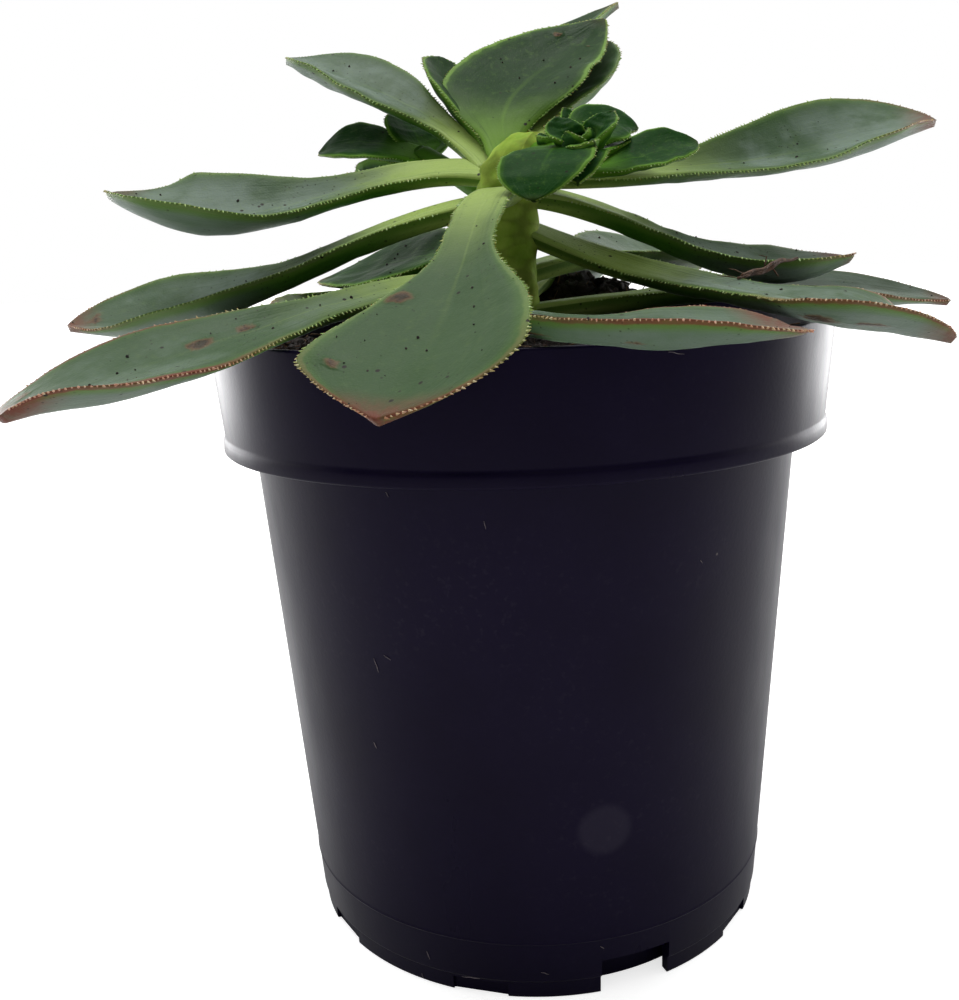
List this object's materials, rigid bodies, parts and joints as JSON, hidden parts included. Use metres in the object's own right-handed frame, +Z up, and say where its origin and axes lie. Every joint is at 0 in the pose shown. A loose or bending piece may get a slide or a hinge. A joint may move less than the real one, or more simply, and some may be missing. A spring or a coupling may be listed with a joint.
{
  "type": "potted aeonium",
  "caption": "Rosette succulent with long spoon-shaped leaves on a short fleshy stem, growing in a thin black nursery pot filled with dark peaty soil.",
  "frame": {"origin": "centre of the object's box in plan, which is on the pot's axis to within a millimetre, at the level of the surface the pot stands on", "axes": "+Z up along the pot's axis; -Y is the side that faces the viewer, where the broad hanging leaf is; +X is the viewer's right, where the growing tip leans"},
  "size_m": [0.1618, 0.1502, 0.1719],
  "materials": {
    "pot_plastic": "near-black satin moulded plastic with dust and fine scuffs",
    "potting_soil": "dark brown crumbly peat with fibres and grit",
    "stem_green": "smooth pale green fleshy stem with leaf scars",
    "leaf_blade": "waxy grey-green succulent leaf with a fringed red-brown margin",
    "young_leaf": "waxy fresh green succulent leaf with a pale beaded margin"
  },
  "bodies": {
    "root": {"pot": "pot_plastic", "soil": "potting_soil", "stem": "stem_green", "leaf_left_low": "leaf_blade", "leaf_left_mid": "leaf_blade", "leaf_left_high": "leaf_blade", "leaf_left_back": "leaf_blade", "leaf_front": "leaf_blade", "leaf_front_right": "leaf_blade", "leaf_right_mid": "leaf_blade", "leaf_right_low": "leaf_blade", "leaf_right_soil": "leaf_blade", "leaf_right_high": "leaf_blade", "leaf_back_right": "leaf_blade", "leaf_back_left": "leaf_blade", "leaf_back_rim": "leaf_blade", "leaf_back_low": "leaf_blade", "leaf_back_mid": "leaf_blade", "leaf_top_broad": "leaf_blade", "leaf_top_left": "leaf_blade", "leaf_top_back": "leaf_blade", "leaf_top_right": "leaf_blade", "crown_rosette": "young_leaf", "side_rosette": "young_leaf"}
  },
  "joints": []
}
